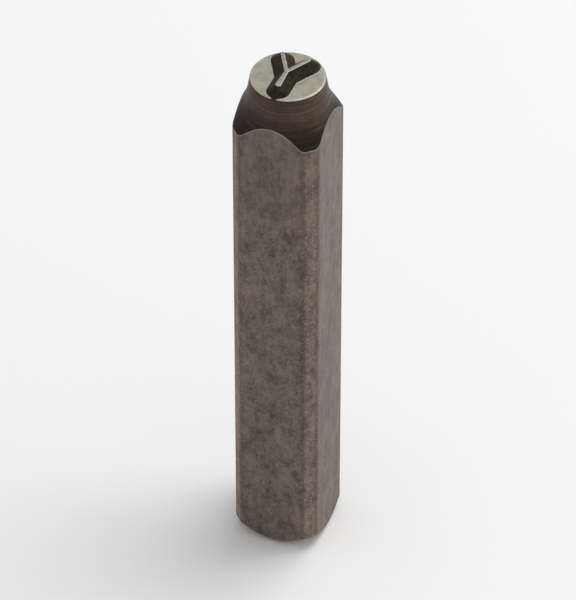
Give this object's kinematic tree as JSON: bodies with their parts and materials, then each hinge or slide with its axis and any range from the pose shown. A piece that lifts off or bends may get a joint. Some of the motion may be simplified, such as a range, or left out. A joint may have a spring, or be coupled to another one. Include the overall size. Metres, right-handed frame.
{
  "type": "steel letter punch",
  "caption": "Square steel bar with flattened corners, turned down to a round neck whose face carries a raised letter Y; the other end is coned for striking.",
  "frame": {"origin": "centre of the flat of the struck end, on which the punch stands", "axes": "+Z along the bar to the letter face; +Y is the top of the letter; the bar's flats face -X, +X, -Y and +Y"},
  "size_m": [0.01, 0.01, 0.066],
  "materials": {
    "punch": "hardened tool steel left dark, with a satin ground face at the letter"
  },
  "bodies": {
    "root": {"punch": "punch"}
  },
  "joints": []
}
